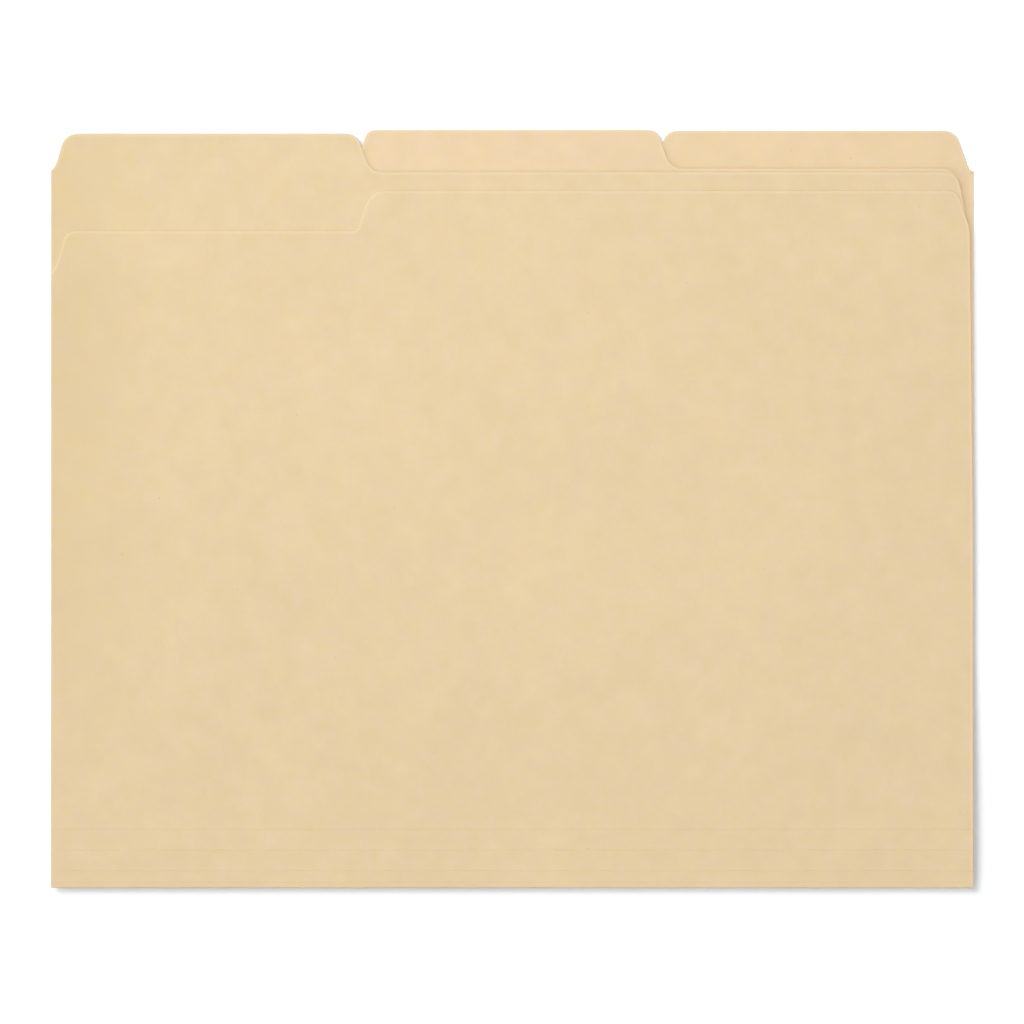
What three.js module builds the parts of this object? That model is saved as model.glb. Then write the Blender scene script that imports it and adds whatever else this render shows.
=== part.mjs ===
// A set of three one-third-cut file folders, closed and stacked flat: left tab on top, right tab at the bottom.
// Millimetres. +X runs along the fold, +Y from the fold to the tabs, +Z up through the stack.
// The origin is the middle of the whole stack's footprint, on the surface that it lies on.
import {
  BoxGeometry, ExtrudeGeometry, Group, Matrix4, Mesh, MeshStandardMaterial, Shape, Vector2, Vector3,
} from 'three';

// Sheet and cover sizes
const sheetWidth = 295.3;          // along the fold
const boardThickness = 0.28;       // 11 point manila board
const tabHeight = 241.55;          // outside of the fold to the top of the tab
const tabRise = 12.38;             // shoulder of the back cover to the top of the tab
const frontDrop = 5.98;            // front cover's top edge below the back cover's shoulder
const notchDrop = 12.86;           // front cover's top edge to the bottom of its notch
const tabPlaces = 3;               // equal parts of the width, each with the tab of one folder

// Scores on the front cover, measured from the outside of the fold
const firstScoreHeight = 5.28;
const scorePitch = 6.63;
const scoreCount = 3;
const scoreSlot = 0.3;             // bare width of one score line between two panels

// Room between the layers
const coverGap = 0.5;              // between the two covers of one closed folder
const stackGap = 0.3;              // between one folder and the next
const foldClearance = 0.3;         // between the spine and the ends of the panels it joins

// Die shape of the covers' outer corners: the corner's margin from the side edge before it is rounded, the degrees that
// its flank leans from upright, the length of edge that its rounding takes up, and how far below its top the flank
// bends and runs out into the side edge. On the right the run-out is long, which leaves the sheet slightly tapered.
const leftCorner = {
  margin: 4.65, lean: 15, ease: 3.5, bendDepth: 10.3, bendEase: 2.4, depth: 13.6,
};
const rightCorner = {
  margin: 5.15, lean: 19, ease: 3, bendDepth: 12.2, bendEase: 1.6, depth: 105,
};
const rightShoulder = {
  margin: 4.9, lean: 11, ease: 4.4, bendDepth: 12, bendEase: 1.6, depth: 105,
};

// Die shape of the tab's inner ends
const footEase = 4.2;              // rounding of the hollow at the foot of a tab's inner flank
const notchEase = 1.7;             // rounding at the bottom of the front cover's notch
const notchCrestEase = 5;          // rounding where the notch meets the front cover's top edge

// The folders from the bottom of the stack to the top. A folder's trim adds to the margin of its right corners. A tab's
// inset is how far its corner, before it is rounded, lies inside its place. An end with a depth is an outer one.
const folders = [
  {
    name: 'right_tab_folder',
    shift: new Vector2(0.3, 0.95),
    place: 2,
    trim: 0,
    start: { inset: 0, lean: 18, ease: 3.8 },
    end: {
      inset: 5.77, lean: 19.1, ease: 3.9, bendDepth: 12.3, bendEase: 0.8, depth: 13.1,
    },
  },
  {
    name: 'centre_tab_folder',
    shift: new Vector2(0, 1.18),
    place: 1,
    trim: 0.6,
    start: { inset: 2.83, lean: 16, ease: 2.6 },
    end: { inset: 2.6, lean: 18.2, ease: 3.2 },
  },
  {
    name: 'left_tab_folder',
    shift: new Vector2(0, 0),
    place: 0,
    trim: 0,
    start: {
      inset: 4.29, lean: 14.7, ease: 4.6, bendDepth: 10.4, bendEase: 2.4, depth: 11.8,
    },
    end: { inset: 0.46, lean: 18.6, ease: 4 },
  },
];

// Worked out from the sizes above
const foldRadius = boardThickness + coverGap / 2;
const foldBore = coverGap / 2;
const panelStart = foldRadius * 2 + foldClearance;
const placeWidth = sheetWidth / tabPlaces;
const shoulderHeight = tabHeight - tabRise;
const frontHeight = shoulderHeight - frontDrop;
const frontCoverLevel = boardThickness + coverGap;
const folderPitch = 2 * boardThickness + coverGap + stackGap;

const manilaColour = 0xe8d1a9;
const tabColour = 0xebd3ac;
const spineColour = 0xe0c89f;

const tangent = (degrees) => Math.tan((degrees * Math.PI) / 180);

function manila(color) {
  return new MeshStandardMaterial({ color, roughness: 0.85, metalness: 0 });
}

function namedMesh(name, geometry, color) {
  const mesh = new Mesh(geometry, manila(color));
  mesh.name = name;
  return mesh;
}

// A corner of an outline: where its two straight edges meet, and how much of each the rounding takes up.
function corner(x, y, ease = 0) {
  return { point: new Vector2(x, y), ease };
}

// A closed outline through the corners, each rounded by a curve that leaves and meets its edges smoothly.
function roundedOutline(corners) {
  const outline = new Shape();
  corners.forEach(({ point, ease }, i) => {
    const before = corners[(i + corners.length - 1) % corners.length];
    const after = corners[(i + 1) % corners.length];
    const alongTo = (other) => {
      const run = other.point.clone().sub(point);
      const share = ease / (ease + other.ease);
      return run.setLength(Math.min(ease, run.length() * share)).add(point);
    };
    const enter = ease > 0 ? alongTo(before) : point;
    if (i === 0) outline.moveTo(enter.x, enter.y);
    else outline.lineTo(enter.x, enter.y);
    if (ease > 0) {
      const leave = alongTo(after);
      outline.quadraticCurveTo(point.x, point.y, leave.x, leave.y);
    }
  });
  outline.closePath();
  return outline;
}

// The end of a cover's top edge at one side edge of the sheet, listed from the side edge inwards.
// side is -1 for the left edge and 1 for the right one.
function outerEnd(side, top, {
  margin, lean, ease, bendDepth, bendEase, depth,
}) {
  const edge = (side * sheetWidth) / 2;
  return [
    corner(edge, top - depth),
    corner(edge - side * (margin - tangent(lean) * bendDepth), top - bendDepth, bendEase),
    corner(edge - side * margin, top, ease),
  ];
}

function plainEnd(side, top, { trim }, rightShape) {
  return outerEnd(side, top, side < 0 ? leftCorner : { ...rightShape, margin: rightShape.margin + trim });
}

// Where a tab's corner lies across the sheet, before it is rounded.
function tabCorner(side, place, inset) {
  const placeEnd = (side < 0 ? place : place + 1) * placeWidth - sheetWidth / 2;
  return placeEnd - side * inset;
}

// One side of a back cover's top edge, from the side edge in to the tab's corner.
function backCoverSide(side, folder, end) {
  if (end.depth) return outerEnd(side, tabHeight, { ...end, margin: end.inset });
  const tabEnd = tabCorner(side, folder.place, end.inset);
  return [
    ...plainEnd(side, shoulderHeight, folder, rightShoulder),
    corner(tabEnd + side * tangent(end.lean) * tabRise, shoulderHeight, footEase),
    corner(tabEnd, tabHeight, end.ease),
  ];
}

// One side of a front cover's top edge: it drops in a notch under the tab, which keeps the tab in sight.
function frontCoverSide(side, folder, end) {
  const notchHeight = frontHeight - notchDrop;
  if (end.depth) return plainEnd(side, notchHeight, folder, rightCorner);
  const notchEnd = tabCorner(side, folder.place, end.inset);
  return [
    ...plainEnd(side, frontHeight, folder, rightCorner),
    corner(notchEnd + side * tangent(end.lean) * notchDrop, frontHeight, notchCrestEase),
    corner(notchEnd, notchHeight, notchEase),
  ];
}

// A cover: straight along the bottom, with the given top edge.
function coverGeometry(bottom, coverSide, folder) {
  const half = sheetWidth / 2;
  const outline = roundedOutline([
    corner(-half, bottom),
    corner(half, bottom),
    ...coverSide(1, folder, folder.end),
    ...coverSide(-1, folder, folder.start).reverse(),
  ]);
  return new ExtrudeGeometry(outline, { depth: boardThickness, bevelEnabled: false, curveSegments: 6 });
}

// The strip of the front cover between two scores, or between the fold and the first score.
function gussetGeometry(bottom, top) {
  const strip = new BoxGeometry(sheetWidth, top - bottom, boardThickness);
  strip.translate(0, (bottom + top) / 2, boardThickness / 2);
  return strip;
}

// The rounded spine: half a tube wall that opens towards the tabs. The covers fold about its centre line.
function spineGeometry() {
  const wall = new Shape();
  const quarterTurn = Math.PI / 2;
  wall.absarc(0, 0, foldRadius, quarterTurn, 3 * quarterTurn, false);
  wall.absarc(0, 0, foldBore, 3 * quarterTurn, quarterTurn, true);
  wall.closePath();
  const tube = new ExtrudeGeometry(wall, { depth: sheetWidth, bevelEnabled: false, curveSegments: 10 });
  tube.translate(0, 0, -sheetWidth / 2);
  tube.applyMatrix4(new Matrix4().makeBasis(
    new Vector3(0, 1, 0),
    new Vector3(0, 0, 1),
    new Vector3(1, 0, 0),
  ));
  return tube;
}

function scoreHeight(index) {
  return firstScoreHeight + index * scorePitch;
}

// One closed folder with the outside of its fold at y = 0 and its underside at z = 0.
function buildFolder(folder) {
  const group = new Group();
  group.add(namedMesh(`${folder.name}_back_cover`, coverGeometry(panelStart, backCoverSide, folder), tabColour));

  const spine = namedMesh(`${folder.name}_spine`, spineGeometry(), spineColour);
  spine.position.set(0, foldRadius, foldRadius);
  group.add(spine);

  for (let i = 0; i < scoreCount; i += 1) {
    const bottom = i === 0 ? panelStart : scoreHeight(i - 1) + scoreSlot / 2;
    const top = scoreHeight(i) - scoreSlot / 2;
    const gusset = namedMesh(`${folder.name}_gusset_${i + 1}`, gussetGeometry(bottom, top), manilaColour);
    gusset.position.z = frontCoverLevel;
    group.add(gusset);
  }

  const frontBottom = scoreHeight(scoreCount - 1) + scoreSlot / 2;
  const frontCover = coverGeometry(frontBottom, frontCoverSide, folder);
  const front = namedMesh(`${folder.name}_front_cover`, frontCover, manilaColour);
  front.position.z = frontCoverLevel;
  group.add(front);
  return group;
}

// The middle of the stack's footprint, counted from the left tab folder's fold.
function footprintMiddle() {
  const across = folders.map(({ shift }) => shift.x);
  const along = folders.map(({ shift }) => shift.y);
  return new Vector2(
    (Math.min(...across) + Math.max(...across)) / 2,
    (Math.min(...along) + Math.max(...along) + tabHeight) / 2,
  );
}

const folderSet = new Group();
const middle = footprintMiddle();
folders.forEach((folder, level) => {
  const group = buildFolder(folder);
  group.position.set(folder.shift.x - middle.x, folder.shift.y - middle.y, level * folderPitch);
  folderSet.add(group);
});

export default folderSet;
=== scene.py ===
"""A stack of three manila file folders with staggered tabs, lying closed and seen from straight above.

Each folder is one sheet of board: back cover with the tab, rounded fold, scored strip and front cover.
Lengths in the classes are millimetres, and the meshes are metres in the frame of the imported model.
"""

import bpy
import logging
import math
from dataclasses import dataclass, field
from enum import Enum
from typing import Optional, Union

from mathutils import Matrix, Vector
from mathutils.geometry import delaunay_2d_cdt


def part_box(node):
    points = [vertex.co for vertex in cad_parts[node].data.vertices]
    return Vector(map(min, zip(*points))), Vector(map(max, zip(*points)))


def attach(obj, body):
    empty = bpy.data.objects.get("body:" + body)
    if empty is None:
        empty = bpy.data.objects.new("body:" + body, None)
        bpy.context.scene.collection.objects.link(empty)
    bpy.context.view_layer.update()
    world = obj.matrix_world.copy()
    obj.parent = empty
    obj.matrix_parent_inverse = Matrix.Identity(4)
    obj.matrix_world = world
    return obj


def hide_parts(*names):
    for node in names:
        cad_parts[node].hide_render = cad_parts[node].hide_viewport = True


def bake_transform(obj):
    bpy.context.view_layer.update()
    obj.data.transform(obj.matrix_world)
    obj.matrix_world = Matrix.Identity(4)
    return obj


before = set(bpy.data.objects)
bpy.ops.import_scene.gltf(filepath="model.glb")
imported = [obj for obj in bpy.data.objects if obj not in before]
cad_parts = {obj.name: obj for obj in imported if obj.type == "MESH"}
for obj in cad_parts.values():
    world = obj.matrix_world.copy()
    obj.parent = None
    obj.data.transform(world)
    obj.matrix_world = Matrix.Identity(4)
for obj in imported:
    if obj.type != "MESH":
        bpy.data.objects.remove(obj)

log = logging.getLogger("folder_stack")
MM = 0.001
CUT_AND_HIGHLIGHT = "pulp_and_highlight"
NOISE_MIDDLE = 0.5
SCORE_COUNT = 3
LEVEL_SLACK = 0.01
SEAM_SLACK = 0.001
STRIP_STEP = 0.12
SCORE_STEP = 0.075
KEY_DIGITS = 4
SHARPEST_MITRE = 0.5
FILL_INSIDE = 1
FILL_WELD = 1e-7

Point = tuple[float, float]
Loop = list[Point]


class Tab(Enum):
    """The three places that a one-third-cut tab has across the width."""

    LEFT = ("left_tab_folder", "front", "front_board", 2)
    CENTRE = ("centre_tab_folder", "middle", "middle_board", 1)
    RIGHT = ("right_tab_folder", "rear", "rear_board", 0)

    @property
    def folder(self) -> str:
        """The start of the folder's node names."""
        return self.value[0]

    @property
    def body(self) -> str:
        """The start of the folder's body names."""
        return self.value[1]

    @property
    def slot(self) -> str:
        """A name for the folder's board."""
        return self.value[2]

    @property
    def level(self) -> int:
        """How many folders lie under this one."""
        return self.value[3]


# Shader maths


class Wire:
    """A node socket that adds its Math node when it meets an operator."""

    def __init__(self, shop: "NodeShop", socket: bpy.types.NodeSocket) -> None:
        """Keep the socket and the shop that makes the nodes."""
        self.shop = shop
        self.socket = socket

    def _math(self, operation: str, *values: "Feed") -> "Wire":
        """Add a Math node.

        Args:
            operation: the Math node's operation.
            values: what feeds its sockets, in order.

        Returns:
            The node's result.
        """
        return self.shop.add("ShaderNodeMath", {"operation": operation}, dict(enumerate(values)))

    def __add__(self, other: "Feed") -> "Wire":
        """This plus other."""
        return self._math("ADD", self, other)

    def __radd__(self, other: "Feed") -> "Wire":
        """Other plus this."""
        return self._math("ADD", other, self)

    def __sub__(self, other: "Feed") -> "Wire":
        """This less other."""
        return self._math("SUBTRACT", self, other)

    def __rsub__(self, other: "Feed") -> "Wire":
        """Other less this."""
        return self._math("SUBTRACT", other, self)

    def __mul__(self, other: "Feed") -> "Wire":
        """This times other."""
        return self._math("MULTIPLY", self, other)

    def __rmul__(self, other: "Feed") -> "Wire":
        """Other times this."""
        return self._math("MULTIPLY", other, self)

    def largest(self, other: "Feed") -> "Wire":
        """The larger of this and other."""
        return self._math("MAXIMUM", self, other)

    def band(self, low: float, high: float) -> "Wire":
        """A smooth step from 0 to 1.

        Args:
            low: the value that gives 0.
            high: the value that gives 1.

        Returns:
            The stepped value.
        """
        settings = {"interpolation_type": "SMOOTHSTEP"}
        feeds = {"Value": self, "From Min": low, "From Max": high}
        return self.shop.add("ShaderNodeMapRange", settings, feeds)


Feed = Union[Wire, float, tuple[float, ...]]
Colour = tuple[float, float, float, float]


@dataclass(frozen=True)
class Grain:
    """The fineness of one noise."""

    per_mm: float
    octaves: float
    harshness: float


class NodeShop:
    """Makes the nodes of one tree."""

    def __init__(self, tree: bpy.types.NodeTree) -> None:
        """Start with an empty tree."""
        self.tree = tree
        tree.nodes.clear()

    def add(self, kind: str, settings: Optional[dict] = None, feeds: Optional[dict] = None,
            output: Union[str, int] = 0) -> Wire:
        """Add a node of any type.

        Args:
            kind: the node's type.
            settings: the node's own settings, set first.
            feeds: values or wires by socket name or number.
            output: the name or number of the output that is wanted.

        Returns:
            The wanted output.
        """
        node = self.tree.nodes.new(kind)
        for name, value in (settings or {}).items():
            setattr(node, name, value)
        for name, value in (feeds or {}).items():
            if isinstance(value, Wire):
                self.tree.links.new(value.socket, node.inputs[name])
            else:
                node.inputs[name].default_value = value
        return Wire(self, node.outputs[output])

    def end(self, kind: str, surface: Wire) -> None:
        """Lead a shader to the tree's output.

        Args:
            kind: the output node's type.
            surface: the shader.
        """
        node = self.tree.nodes.new(kind)
        self.tree.links.new(surface.socket, node.inputs["Surface"])

    def blend(self, share: Feed, first: Feed, second: Feed) -> Wire:
        """A colour between two.

        Args:
            share: 0 for the first, 1 for the second.
            first: the first colour.
            second: the second colour.

        Returns:
            The mixed colour.
        """
        settings = {"data_type": "RGBA", "blend_type": "MIX", "clamp_factor": True}
        return self.add("ShaderNodeMix", settings, {0: share, 6: first, 7: second}, 2)

    def scaled(self, vector: Feed, factors: tuple[float, float, float]) -> Wire:
        """A vector times a factor along each axis."""
        return self.add("ShaderNodeVectorMath", {"operation": "MULTIPLY"}, {0: vector, 1: factors})

    def times(self, colour: Wire, level: Wire) -> Wire:
        """A colour made lighter or darker.

        Args:
            colour: the colour.
            level: 1 leaves it as it is.

        Returns:
            The colour times the level.
        """
        return self.add("ShaderNodeVectorMath", {"operation": "SCALE"}, {0: colour, "Scale": level})

    def noise(self, where: Wire, grain: Grain) -> Wire:
        """Noise between about 0.25 and 0.75.

        Args:
            where: a place in metres.
            grain: waves in a millimetre, octaves, and how strong the finer octaves are.

        Returns:
            The noise value.
        """
        feeds = {
            "Vector": where,
            "Scale": grain.per_mm / MM,
            "Detail": grain.octaves,
            "Roughness": grain.harshness,
        }
        return self.add("ShaderNodeTexNoise", {"noise_dimensions": "3D"}, feeds, "Fac")


def linear(red: int, green: int, blue: int) -> Colour:
    """A display colour as scene-linear values.

    Args:
        red: red from 0 to 255.
        green: green from 0 to 255.
        blue: blue from 0 to 255.

    Returns:
        The linear colour with full alpha.
    """
    def decode(level: int) -> float:
        """One channel as a linear share."""
        share = level / 255
        return share / 12.92 if share <= 0.04045 else ((share + 0.055) / 1.055) ** 2.4

    return decode(red), decode(green), decode(blue), 1.0


@dataclass(frozen=True)
class ManilaBoard:
    """Uncoated buff board: cloudy pulp, fibres along the height, bark specks, and a paler cut edge that is
    partly a painted highlight.
    """

    name: str
    board: Colour
    offset: float
    # paler cut pulp, partly a painted highlight that lightens the rounded and shaded cut edges
    cut: Colour = linear(254, 234, 197)
    cut_highlight_share: float = 0.5
    bark: Colour = linear(176, 138, 92)
    pale_fibre: Colour = linear(242, 224, 190)
    clouds: Grain = Grain(0.018, 3, 0.55)
    cloud_depth: float = 0.07
    patches: Grain = Grain(0.13, 2, 0.5)
    patch_depth: float = 0.085
    mottle: Grain = Grain(0.9, 3, 0.6)
    mottle_depth: float = 0.022
    fibres: Grain = Grain(0.85, 4, 0.65)
    fibre_stretch: tuple[float, float, float] = (3.2, 0.75, 1.0)
    fibre_depth: float = 0.022
    strands: Grain = Grain(1.6, 2, 0.5)
    strand_stretch: tuple[float, float, float] = (2.6, 0.42, 1.0)
    strand_limits: Point = (0.66, 0.78)
    strand_share: float = 0.12
    stain: Grain = Grain(0.22, 4, 0.7)
    stain_limits: Point = (0.3, 0.7)
    stain_blue: float = 0.06
    stain_green: float = 0.0075
    specks_per_mm: float = 0.16
    speck_lot: Point = (0.80, 0.82)
    speck_size: Point = (0.012, 0.040)
    speck_share: float = 0.55
    grain_height: float = 0.008
    grain_strength: float = 0.4
    fibre_relief: float = 0.6
    roughness: float = 0.82
    roughness_spread: float = 0.12
    cut_roughness: float = 0.06
    specular: float = 0.22
    # painted shade: the board is made darker and yellower along the left edge, except near the fold
    handled: float = 0.0
    handled_across: Point = (-106.0, -147.0)
    handled_along: Point = (-62.0, -28.0)
    shade_least: float = 0.6
    shade_in_patches: float = 0.8

    def make(self) -> bpy.types.Material:
        """Build the material.

        Returns:
            The board's material.
        """
        material = bpy.data.materials.new(self.name)
        material.use_nodes = True
        shop = NodeShop(material.node_tree)
        place = shop.add("ShaderNodeTexCoord", output="Object")
        shifted = shop.add(
            "ShaderNodeVectorMath", {"operation": "ADD"}, {0: place, 1: (self.offset, self.offset / 2, 0)})

        clouds = shop.noise(shifted, self.clouds)
        patches = shop.noise(shifted, self.patches)
        mottle = shop.noise(shifted, self.mottle)
        fibres = shop.noise(shop.scaled(shifted, self.fibre_stretch), self.fibres)
        level = (
            1
            + (clouds - NOISE_MIDDLE) * self.cloud_depth
            + (patches - NOISE_MIDDLE) * self.patch_depth
            + (mottle - NOISE_MIDDLE) * self.mottle_depth
            + (fibres - NOISE_MIDDLE) * self.fibre_depth
        )
        red, green, blue, _ = self.board
        pale = (red, green * (1 + self.stain_green), blue * (1 + self.stain_blue), 1.0)
        straw = (red, green * (1 - self.stain_green), blue * (1 - self.stain_blue), 1.0)
        stain = shop.noise(shifted, self.stain).band(*self.stain_limits)
        pulp = shop.times(shop.blend(stain, pale, straw), level)
        # painted shade along the left edge: darker, with blue dropping most
        if self.handled:
            shaded = self._left_shade_mask(shop, place) * (self.shade_least + patches * self.shade_in_patches)
            kept = 1 - self.handled
            pulp = shop.blend(shaded, pulp, shop.scaled(pulp, (kept, kept, kept * kept)))

        strands = shop.noise(shop.scaled(shifted, self.strand_stretch), self.strands)
        pulp = shop.blend(strands.band(*self.strand_limits) * self.strand_share, pulp, self.pale_fibre)
        pulp = shop.blend(self._specks(shop, shifted), pulp, self.bark)
        # the paler cut colour on the edges is partly a painted highlight
        edge = shop.add("ShaderNodeAttribute", {"attribute_name": CUT_AND_HIGHLIGHT}, output="Fac")
        colour = shop.blend(edge * self.cut_highlight_share, pulp, self.cut)

        grain = fibres * self.fibre_relief + mottle * (1 - self.fibre_relief)
        normal = shop.add("ShaderNodeBump", {}, {
            "Strength": self.grain_strength,
            "Distance": self.grain_height * MM,
            "Height": grain,
        })
        uneven = (mottle - NOISE_MIDDLE) * self.roughness_spread
        rough = self.roughness + uneven + edge * self.cut_roughness
        surface = shop.add("ShaderNodeBsdfPrincipled", {}, {
            "Base Color": colour,
            "Roughness": rough,
            "Normal": normal,
            "Specular IOR Level": self.specular,
        })
        shop.end("ShaderNodeOutputMaterial", surface)
        return material

    def _left_shade_mask(self, shop: NodeShop, where: Wire) -> Wire:
        """Painted shade along the left edge, where the board is made a little darker and yellower.

        Args:
            shop: the material's nodes.
            where: the place on the board.

        Returns:
            1 along the left edge, except near the fold; 0 away from it.
        """
        share: Feed = 1.0
        for axis, (none, full) in (("X", self.handled_across), ("Y", self.handled_along)):
            place = shop.add("ShaderNodeSeparateXYZ", {}, {"Vector": where}, axis)
            share = share * place.band(none * MM, full * MM)
        return share

    def _specks(self, shop: NodeShop, where: Wire) -> Wire:
        """Rare bark specks.

        Args:
            shop: the material's nodes.
            where: the place on the board.

        Returns:
            How much of the bark colour shows.
        """
        cells = {"Vector": where, "Scale": self.specks_per_mm / MM, "Randomness": 1.0}
        distance = shop.add("ShaderNodeTexVoronoi", {"feature": "F1"}, cells, "Distance")
        lot = shop.add("ShaderNodeTexVoronoi", {"feature": "F1"}, cells, "Color")
        drawn = shop.add("ShaderNodeSeparateColor", {}, {"Color": lot}, "Red").band(*self.speck_lot)
        return (1 - distance.band(*self.speck_size)) * drawn * self.speck_share


# Meshes


@dataclass(frozen=True)
class BoardEdge:
    """The rounding that a steel rule leaves on a cut edge: how thick the board is close to its edge."""

    thickness: float
    insets: tuple[float, ...] = (0.0, 0.04, 0.12, 0.42, 1.15)
    shares: tuple[float, ...] = (0.30, 0.64, 0.86, 0.97, 1.0)
    # how much of the paler cut colour, partly a painted highlight, shows at each inset
    bareness_and_highlight: tuple[float, ...] = (1.0, 0.95, 0.84, 0.50, 0.0)

    def half(self, inset: float) -> float:
        """Half of the board's thickness at a distance from its edge.

        Args:
            inset: one of the distances from the cut edge.

        Returns:
            Half of the thickness there.
        """
        return self.shares[self.insets.index(inset)] * self.thickness / 2

    def cut(self, inset: float) -> float:
        """How bare the pulp is at a distance from the cut edge, which also sets the painted highlight there:
        1 on it, 0 on the face.
        """
        return self.bareness_and_highlight[self.insets.index(inset)]


class MeshMaker:
    """Gathers vertices and faces and makes the finished object."""

    def __init__(self, name: str) -> None:
        """Start an empty mesh."""
        self.name = name
        self.points: list[tuple[float, float, float]] = []
        self.bareness_and_highlight: list[float] = []
        self.faces: list[tuple[int, ...]] = []

    def point(self, x: float, y: float, z: float, bare: float = 0.0) -> int:
        """Add a point.

        Args:
            x: place along the fold.
            y: place from the fold to the tabs.
            z: height.
            bare: how much of the paler cut pulp and painted highlight shows there.

        Returns:
            The point's number.
        """
        self.points.append((x * MM, y * MM, z * MM))
        self.bareness_and_highlight.append(bare)
        return len(self.points) - 1

    def band(self, first: list[int], second: list[int]) -> None:
        """Join two closed rows of points with faces.

        Args:
            first: one row.
            second: the next row, with as many points.
        """
        count = len(first)
        for i in range(count):
            j = (i + 1) % count
            self.faces.append((first[i], first[j], second[j], second[i]))

    def finish(self, material: bpy.types.Material, crease: float = 40.0) -> bpy.types.Object:
        """Make the object.

        Args:
            material: its finish.
            crease: an edge that turns more than this many degrees stays sharp.

        Returns:
            The object, with smooth faces.
        """
        mesh = bpy.data.meshes.new(self.name)
        mesh.from_pydata(self.points, [], self.faces)
        mesh.validate()
        # the share of paler cut colour and painted highlight at each point
        attribute = mesh.attributes.new(CUT_AND_HIGHLIGHT, "FLOAT", "POINT")
        attribute.data.foreach_set("value", self.bareness_and_highlight)
        mesh.shade_smooth()
        mesh.set_sharp_from_angle(angle=math.radians(crease))
        mesh.materials.append(material)
        piece = bpy.data.objects.new(self.name, mesh)
        bpy.context.scene.collection.objects.link(piece)
        return piece


def node_outline(node: str) -> Loop:
    """The outline of a flat panel, read from its upper face.

    Args:
        node: the panel's node.

    Returns:
        The outline's corners in order, anticlockwise, in millimetres.
    """
    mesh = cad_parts[node].data
    top = max(v.co.z for v in mesh.vertices)
    keys = [(round(v.co.x / MM, KEY_DIGITS), round(v.co.y / MM, KEY_DIGITS)) for v in mesh.vertices]
    following: dict[Point, Point] = {}
    edges: dict[tuple[Point, Point], int] = {}
    for face in mesh.polygons:
        if all(mesh.vertices[i].co.z > top - LEVEL_SLACK * MM for i in face.vertices):
            ring = [keys[i] for i in face.vertices]
            for a, b in zip(ring, ring[1:] + ring[:1]):
                edges[a, b] = 1
    for a, b in edges:
        if (b, a) not in edges:
            following[a] = b
    start = min(following)
    loop = [start]
    while following[loop[-1]] != start:
        loop.append(following[loop[-1]])
    return loop


def softened(loop: Loop, rounds: int = 3, steepest: float = 30.0, slightest: float = 0.2,
             reach: float = 0.6) -> Loop:
    """Cut the slight corners of a rounded stretch until it runs smoothly.

    Args:
        loop: the outline.
        rounds: how often to cut.
        steepest: a corner that turns more degrees than this stays.
        slightest: so does one that turns fewer degrees than this.
        reach: the longest piece of an edge that one cut takes.

    Returns:
        The smoother outline.
    """
    for _ in range(rounds):
        smoother: Loop = []
        for i, here in enumerate(loop):
            before, after = Vector(loop[i - 1]), Vector(loop[(i + 1) % len(loop)])
            middle = Vector(here)
            turn = math.degrees((middle - before).angle(after - middle, 0.0))
            if turn > steepest or turn < slightest:
                smoother.append(here)
                continue
            for other in (before, after):
                run = other - middle
                smoother.append(tuple(middle + run * min(1 / 4, reach / run.length)))
        loop = smoother
        reach /= 2
    return loop


def divided(loop: Loop, longest: float) -> Loop:
    """Add points on the long edges of an outline.

    Args:
        loop: the outline.
        longest: the longest edge that stays.

    Returns:
        The outline with more points.
    """
    result: Loop = []
    for i, (x, y) in enumerate(loop):
        next_x, next_y = loop[(i + 1) % len(loop)]
        parts = max(1, math.ceil(math.hypot(next_x - x, next_y - y) / longest))
        for k in range(parts):
            result.append((x + (next_x - x) * k / parts, y + (next_y - y) * k / parts))
    return result


def inward(loop: Loop, seam: float) -> Loop:
    """The direction into the board at each point of an anticlockwise outline.

    Args:
        loop: the outline.
        seam: the height of the edge where the board goes on in the next piece; nothing moves off it.

    Returns:
        A direction for each point, longer at corners so that the edges stay parallel.
    """
    result = []
    for i, (x, y) in enumerate(loop):
        before, after = Vector(loop[i - 1]), Vector(loop[(i + 1) % len(loop)])
        back, ahead = Vector((x, y)) - before, after - Vector((x, y))
        first = Vector((-back.y, back.x)).normalized()
        second = Vector((-ahead.y, ahead.x)).normalized()
        if abs(y - seam) < SEAM_SLACK:
            is_end = abs(before.y - seam) > SEAM_SLACK or abs(after.y - seam) > SEAM_SLACK
            result.append((math.copysign(1.0, -x) if is_end else 0.0, 0.0))
            continue
        mean = (first + second).normalized()
        mean /= max(SHARPEST_MITRE, mean.dot(first))
        result.append((mean.x, mean.y))
    return result


def inside(loop: Loop, x: float, y: float) -> bool:
    """Whether a point lies inside an outline."""
    found = False
    for (ax, ay), (bx, by) in zip(loop, loop[1:] + loop[:1]):
        if (ay > y) != (by > y) and x < ax + (y - ay) * (bx - ax) / (by - ay):
            found = not found
    return found


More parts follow.
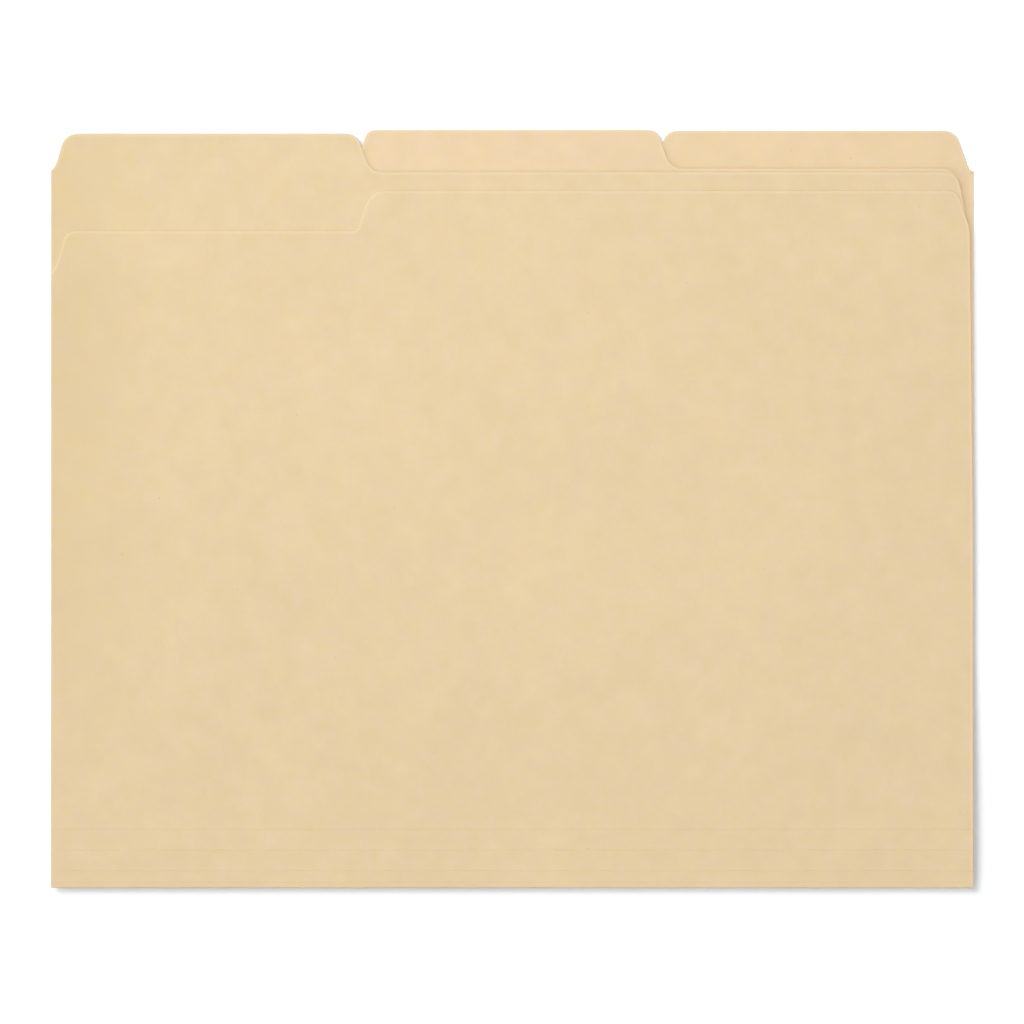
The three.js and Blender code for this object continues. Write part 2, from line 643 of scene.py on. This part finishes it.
@dataclass
class FolderSheet:
    """One folder, made from one sheet of board.

    Its covers settle away from the springy fold, each by the room between the layers.
    """

    tab: Tab
    board: bpy.types.Material
    grid: float = 7.0
    seam_half: float = 0.45
    score_width: float = 0.27
    score_height: float = 0.10
    score_trough: float = 0.5
    trough_place: float = 1.6
    press_height: float = 0.08
    press_ridge: Point = (1.75, 0.20)
    press_groove: Point = (1.42, 0.16)
    fill_margin: float = 2.0
    # beyond this inward x-direction, the left side edge gets no paler cut colour or painted highlight
    unhighlighted_side: float = 0.98
    cover_room: float = 0.35
    stack_room: float = 0.18
    settling: float = 60.0
    bow: float = 0.05
    bow_runs: Point = (61.0, 47.0)
    bow_start: float = 0.8
    ripple_runs: Point = (29.0, 83.0)
    ripple_share: float = 0.5
    phase_step: float = 0.4
    calm: float = 22.0
    pieces: list[bpy.types.Object] = field(default_factory=list)

    def __post_init__(self) -> None:
        """Read the folder's sizes off its panels."""
        back_low, back_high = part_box(self._node("back_cover"))
        spine_low, spine_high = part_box(self._node("spine"))
        front_low, front_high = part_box(self._node("front_cover"))
        self.left = back_low.x / MM
        self.right = back_high.x / MM
        self.fold_edge = spine_low.y / MM
        self.panel_start = back_low.y / MM
        self.thickness = (back_high.z - back_low.z) / MM
        self.back_level = (back_low.z + back_high.z) / 2 / MM
        self.front_level = (front_low.z + front_high.z) / 2 / MM
        self.fold_radius = (self.front_level - self.back_level) / 2
        self.fold_y = self.fold_edge + (spine_high.z - spine_low.z) / 2 / MM
        self.fold_z = (self.front_level + self.back_level) / 2
        self.scores = [self._score(i) for i in range(1, SCORE_COUNT + 1)]
        self.edge = BoardEdge(self.thickness)

    def _node(self, panel: str) -> str:
        """The full name of one of the folder's nodes."""
        return f"{self.tab.folder}_{panel}"

    def _score(self, number: int) -> float:
        """Where a score lies: midway between the strips that it parts.

        Args:
            number: 1 for the score next to the fold.

        Returns:
            Its place along the height of the sheet.
        """
        above = "front_cover" if number == SCORE_COUNT else f"gusset_{number + 1}"
        below_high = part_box(self._node(f"gusset_{number}"))[1].y
        above_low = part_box(self._node(above))[0].y
        return (below_high + above_low) / 2 / MM

    def make(self) -> None:
        """Make and place all of the folder's pieces."""
        self._back_cover()
        self._fold()
        if self.tab is Tab.LEFT:
            self._hinged_front()
        else:
            self._stiff_front()
        for piece in self.pieces:
            log.info("%s: %d faces", piece.name, len(piece.data.polygons))

    def _lie(self, x: float, y: float, sag: float) -> float:
        """How the resting sheet lies: it settles away from its springy fold, and bows a little.

        Args:
            x: place along the fold.
            y: place along the height.
            sag: how far it settles in all.

        Returns:
            The height to add.
        """
        share = min(1.0, max(0.0, (y - self.fold_edge - self.calm) / self.settling))
        share = share * share * (3 - 2 * share)
        phase = self.phase_step * self.tab.level
        bow = math.sin(x / self.bow_runs[0] + phase) * math.cos(y / self.bow_runs[1] + self.bow_start)
        ripple = math.sin(x / self.ripple_runs[0] - y / self.ripple_runs[1] + phase)
        wave = (bow + self.ripple_share * ripple) / (1 + self.ripple_share)
        return share * (self.bow * wave - sag)

    def _pressed(self, y: float) -> float:
        """The height of the front cover's face beside the fold and at the scores.

        Args:
            y: place along the height.

        Returns:
            The height to add, which is most on a score's bead.
        """
        bead = 0.0
        for score in self.scores:
            across = (y - score) / self.score_width
            trough = self.score_trough * math.exp(-((across - self.trough_place) ** 2))
            bead += self.score_height * (math.exp(-(across ** 2)) - trough)
        ridge, groove = (
            math.exp(-(((y - self.fold_edge - place) / width) ** 2))
            for place, width in (self.press_ridge, self.press_groove)
        )
        return bead + self.press_height * (ridge - groove)

    def _sheet(self, name: str, outline: Loop, level: float, seam: float, sag: float) -> bpy.types.Object:
        """A flat cover with rounded cut edges.

        Args:
            name: the piece's name.
            outline: the cover's outline.
            level: the height of the middle of the board.
            seam: the height of the edge where the board goes on in the next piece.
            sag: how far the cover settles away from the fold.

        Returns:
            The cover.
        """
        maker = MeshMaker(name)
        loop = divided(softened(outline), self.grid)
        into = inward(loop, seam)

        def ring(inset: float, side: int) -> list[int]:
            """One row of points round the board at a distance from its edge."""
            row = []
            for (x, y), (dx, dy) in zip(loop, into):
                px, py = x + dx * inset, y + dy * inset
                at_seam = abs(y - seam) < SEAM_SLACK and dx == 0
                half = self.edge.half(self.edge.insets[-1] if at_seam else inset)
                # the seams and the left side edge get no paler cut colour or painted highlight
                bare = 0.0 if at_seam or dx > self.unhighlighted_side else self.edge.cut(inset)
                row.append(maker.point(px, py, level + self._lie(px, py, sag) + side * half, bare))
            return row

        rows = [ring(inset, 1) for inset in reversed(self.edge.insets)]
        rows += [ring(inset, -1) for inset in self.edge.insets]
        for above, below in zip(rows, rows[1:]):
            maker.band(above, below)
        self._fill(maker, rows[0], level + self.thickness / 2, sag, 1)
        self._fill(maker, rows[-1], level - self.thickness / 2, sag, -1)
        return maker.finish(self.board)

    def _fill(self, maker: MeshMaker, ring: list[int], level: float, sag: float, side: int) -> None:
        """Fill one face of a cover.

        Args:
            maker: the cover's mesh.
            ring: the face's outer points.
            level: the height of the face.
            sag: how far the cover settles away from the fold.
            side: 1 for the upper face, -1 for the lower one.
        """
        loop = [(maker.points[i][0] / MM, maker.points[i][1] / MM) for i in ring]
        low_x, high_x = min(p[0] for p in loop), max(p[0] for p in loop)
        low_y, high_y = min(p[1] for p in loop), max(p[1] for p in loop)
        extra: Loop = []
        y = low_y + self.grid / 2
        while y < high_y:
            x = low_x + self.grid / 2
            while x < high_x:
                reach = (-self.fill_margin, self.fill_margin)
                around = [(x + dx, y + dy) for dx in reach for dy in reach]
                if all(inside(loop, *spot) for spot in around):
                    extra.append((x, y))
                x += self.grid
            y += self.grid
        count = len(loop)
        border = [(i, (i + 1) % count) for i in range(count)]
        spots = [Vector(p) for p in loop + extra]
        _, _, triangles, origin, _, _ = delaunay_2d_cdt(spots, border, [], FILL_INSIDE, FILL_WELD)
        numbers: dict[int, int] = {}
        for index, sources in enumerate(origin):
            source = sources[0]
            if source < count:
                numbers[index] = ring[source]
            else:
                x, y = extra[source - count]
                numbers[index] = maker.point(x, y, level + self._lie(x, y, sag))
        for triangle in triangles:
            corners = [numbers[i] for i in triangle]
            maker.faces.append(tuple(corners if side > 0 else reversed(corners)))

    def _strip(self, name: str, path: Loop, pressed: bool) -> bpy.types.Object:
        """A band of board that runs the whole width along a path seen from the side.

        Args:
            name: the piece's name.
            path: the middle of the board, as places along the height and heights.
            pressed: whether the face carries the scores.

        Returns:
            The band.
        """
        maker = MeshMaker(name)
        insets = self.edge.insets
        stations = [(self.left + d, d) for d in insets]
        steps = math.ceil((self.right - self.left) / self.grid)
        inner = self.right - self.left - 2 * insets[-1]
        stations += [(self.left + insets[-1] + inner * k / steps, insets[-1]) for k in range(1, steps)]
        stations += [(self.right - d, d) for d in reversed(insets)]
        normals = []
        for i in range(len(path)):
            before, after = Vector(path[max(i - 1, 0)]), Vector(path[min(i + 1, len(path) - 1)])
            along = (after - before).normalized()
            normals.append(Vector((-along.y, along.x)))
        rings = []
        for x, inset in stations:
            # the strip's left end gets no paler cut colour or painted highlight
            half, bare = self.edge.half(inset), 0.0 if x < 0 else self.edge.cut(inset)
            shifts = [self._pressed(y) if pressed else 0.0 for y, _ in path]
            outer = [
                maker.point(x, y + n.x * half, z + n.y * half + shift, bare)
                for (y, z), n, shift in zip(path, normals, shifts)
            ]
            under = [
                maker.point(x, y - n.x * half, z - n.y * half + shift, bare)
                for (y, z), n, shift in zip(path, normals, shifts)
            ]
            rings.append(outer + under[::-1])
        for first, second in zip(rings, rings[1:]):
            maker.band(second, first)
        maker.faces.append(tuple(rings[0]))
        maker.faces.append(tuple(reversed(rings[-1])))
        return maker.finish(self.board)

    def _add(self, piece: bpy.types.Object, body: str, *nodes: str) -> None:
        """Fix a stiff piece to its body.

        Args:
            piece: the piece.
            body: the end of the body's name.
            nodes: the ends of the names of the nodes that it stands for.
        """
        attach(piece, f"{self.tab.body}_{body}")
        if nodes:
            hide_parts(*(self._node(n) for n in nodes))
        self.pieces.append(piece)

    def _back_cover(self) -> None:
        """The back cover with the tab."""
        outline = node_outline(self._node("back_cover"))
        sag = self.tab.level * (self.cover_room + self.stack_room)
        piece = self._sheet(f"{self.tab.folder}_back_board", outline, self.back_level, self.panel_start, sag)
        self._add(piece, "back", "back_cover")

    def _fold(self, segments: int = 18) -> None:
        """The rounded fold with a short flat stretch on either side.

        Args:
            segments: steps round the half turn.
        """
        path: Loop = [(self.panel_start, self.back_level)]
        for k in range(segments + 1):
            angle = -math.pi / 2 - math.pi * k / segments
            path.append((
                self.fold_y + self.fold_radius * math.cos(angle),
                self.fold_z + self.fold_radius * math.sin(angle)))
        path.append((self.panel_start, self.front_level))
        piece = self._strip(f"{self.tab.folder}_fold", path, pressed=False)
        reach = self.fold_radius - self.thickness / 2
        start = Vector((0, self.fold_y, self.fold_z - reach)) * MM
        end = Vector((0, self.fold_y, self.fold_z + reach)) * MM
        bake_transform(piece)
        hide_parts(self._node("spine"))
        self.pieces.append(piece)

    def _run(self, low: float, high: float, step: float = STRIP_STEP) -> Loop:
        """The middle of the front cover's board between two places.

        Args:
            low: where it starts.
            high: where it ends.
            step: about how far its points lie apart.

        Returns:
            The path.
        """
        count = max(1, round((high - low) / step))
        return [(low + (high - low) * k / count, self.front_level) for k in range(count + 1)]

    def _front_sheet(self) -> bpy.types.Object:
        """The front cover above the last score.

        Returns:
            The cover.
        """
        node = self._node("front_cover")
        outline = node_outline(node)
        bottom = min(y for _, y in outline)
        seam = self.scores[-1] + self.seam_half
        moved = [(x, seam if y < bottom + LEVEL_SLACK else y) for x, y in outline]
        sag = self.tab.level * (self.cover_room + self.stack_room) + self.cover_room
        return self._sheet(f"{self.tab.folder}_front_board", moved, self.front_level, seam, sag)

    def _stiff_front(self) -> None:
        """A front cover whose scores stay flat under the folder on top of it."""
        band = self._run(self.panel_start, self.scores[-1] + self.seam_half)
        piece = self._strip(f"{self.tab.folder}_scored_strip", band, pressed=True)
        self._add(piece, "front", *(f"gusset_{i}" for i in range(1, SCORE_COUNT + 1)))
        self._add(self._front_sheet(), "front", "front_cover")

    def _hinged_front(self) -> None:
        """A front cover in pieces: three scored strips, each on its own body, a piece at each of the three
        scores, and the cover above them.
        """
        low = self.panel_start
        for number, score in enumerate(self.scores, start=1):
            flat = self._run(low, score - self.seam_half)
            strip = self._strip(f"{self.tab.folder}_strip_{number}", flat, pressed=True)
            self._add(strip, f"gusset_{number}", f"gusset_{number}")
            low = score + self.seam_half
            bending = self._run(score - self.seam_half, low, SCORE_STEP)
            bend = self._strip(f"{self.tab.folder}_score_{number}", bending, pressed=True)
            start = Vector((0, score - self.seam_half, self.front_level)) * MM
            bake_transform(bend)
            self.pieces.append(bend)
        self._add(self._front_sheet(), "front", "front_cover")


@dataclass
class Desk:
    """The white surface that the stack lies on."""

    half_size: float = 6000.0
    colour: Colour = (0.690, 0.705, 0.720, 1.0)

    def make(self) -> bpy.types.Object:
        """Make the surface.

        Returns:
            The surface, which isn't part of the stack.
        """
        maker = MeshMaker("desk")
        corners = [(-1, -1), (1, -1), (1, 1), (-1, 1)]
        half = self.half_size
        maker.faces.append(tuple(maker.point(x * half, y * half, 0.0) for x, y in corners))
        material = bpy.data.materials.new("white_desk")
        material.use_nodes = True
        shop = NodeShop(material.node_tree)
        shop.end("ShaderNodeOutputMaterial", shop.add("ShaderNodeBsdfDiffuse", {}, {"Color": self.colour}))
        desk = maker.finish(material)
        return desk


def seen(shop: NodeShop) -> Wire:
    """1 for rays from the camera, by a mirror or through glass, and 0 for the rays that light things."""
    camera, glossy, through = (
        shop.add("ShaderNodeLightPath", output=f"Is {kind} Ray")
        for kind in ("Camera", "Glossy", "Transmission")
    )
    return camera.largest(glossy).largest(through)


@dataclass(frozen=True)
class FarLamp:
    """A broad lamp so far away that it lights everything alike."""

    name: str
    share: float
    height: float
    bearing: float
    spread: float

    def towards(self) -> Vector:
        """The direction in which the lamp lies."""
        height, bearing = math.radians(self.height), math.radians(self.bearing)
        return Vector((
            math.cos(height) * math.cos(bearing), math.cos(height) * math.sin(bearing), math.sin(height)))

    def make(self) -> bpy.types.Object:
        """Make the lamp.

        Returns:
            The lamp, which gives its share of a plain level on a level surface.
        """
        lamp = bpy.data.lights.new(self.name, "SUN")
        lamp.energy = self.share * math.pi / math.sin(math.radians(self.height))
        lamp.angle = math.radians(self.spread)
        holder = bpy.data.objects.new(self.name, lamp)
        holder.rotation_euler = self.towards().to_track_quat("Z", "Y").to_euler()
        holder.location = self.towards()
        bpy.context.scene.collection.objects.link(holder)
        return holder


@dataclass
class Studio:
    """Soft light at a plain level: sky, an overhead lamp, a softbox beyond the left tab and a side lamp."""

    overhead_lamp: FarLamp = FarLamp("overhead_lamp", 0.48, 88.0, 135.0, 16.0)
    side_lamp: FarLamp = FarLamp("side_lamp", 0.11, 32.0, 215.0, 40.0)
    desk_lamp: FarLamp = FarLamp("desk_lamp", 0.58, 50.0, 143.0, 34.0)
    box_share: float = 0.17
    box_place: tuple[float, float, float] = (-100.0, 200.0, 500.0)
    box_size: float = 250.0

    def make(self, desk: bpy.types.Object) -> None:
        """Make the lamps and the sky.

        Args:
            desk: the surface, which one more lamp lights by itself.
        """
        self.overhead_lamp.make()
        self.side_lamp.make()
        self._softbox()
        lit = bpy.data.collections.new("lit_by_desk_lamp")
        lit.objects.link(desk)
        self.desk_lamp.make().light_linking.receiver_collection = lit
        world = bpy.data.worlds.new("soft_sky")
        bpy.context.scene.world = world
        world.use_nodes = True
        shop = NodeShop(world.node_tree)
        share = 1 - self.overhead_lamp.share - self.side_lamp.share - self.box_share
        strength = share + seen(shop) * (1 - share)
        sky = shop.add("ShaderNodeBackground", {}, {"Color": (1, 1, 1, 1), "Strength": strength})
        shop.end("ShaderNodeOutputWorld", sky)

    def _softbox(self) -> None:
        """Make the softbox, whose light falls off towards the fold and the right."""
        place = Vector(self.box_place) * MM
        lamp = bpy.data.lights.new("softbox", "AREA")
        lamp.shape = "SQUARE"
        lamp.size = self.box_size * MM
        lamp.energy = self.box_share * math.pi ** 2 * place.length_squared * place.length / place.z
        holder = bpy.data.objects.new("softbox", lamp)
        holder.location = place
        holder.rotation_euler = place.to_track_quat("Z", "Y").to_euler()
        bpy.context.scene.collection.objects.link(holder)


@dataclass
class OverheadCamera:
    """A long lens straight above the stack."""

    centre_x: float = -0.15
    centre_y: float = -1.06
    view_width: float = 327.96
    height: float = 4000.0
    farthest: float = 20000.0
    sensor: float = 36.0

    def make(self, subject_top: float) -> None:
        """Make the camera.

        Args:
            subject_top: the height of the face that the view's width is measured at.
        """
        data = bpy.data.cameras.new("camera")
        data.sensor_width = self.sensor
        data.lens = self.sensor * (self.height - subject_top) / self.view_width
        data.clip_end = self.farthest * MM
        camera = bpy.data.objects.new("camera", data)
        camera.location = Vector((self.centre_x, self.centre_y, self.height)) * MM
        bpy.context.scene.collection.objects.link(camera)
        bpy.context.scene.camera = camera


def main() -> None:
    """Build the stack, its surroundings and the camera."""
    logging.basicConfig(level=logging.INFO, format="%(message)s")
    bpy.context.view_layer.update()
    scene = bpy.context.scene
    scene.view_settings.view_transform = "Standard"
    OverheadCamera().make(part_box("left_tab_folder_front_cover")[1].z / MM)
    Studio().make(Desk().make())
    finishes = {
        # the front folder carries a painted shade along its left edge
        Tab.LEFT: ManilaBoard("front_manila", linear(233, 209, 168), 0.0, handled=0.045),
        Tab.CENTRE: ManilaBoard("middle_manila", linear(238, 212, 173), 0.37),
        Tab.RIGHT: ManilaBoard("rear_manila", linear(238, 212, 171), 0.71),
    }
    for tab, finish in finishes.items():
        FolderSheet(tab, finish.make()).make()


if __name__ == "__main__":
    main()
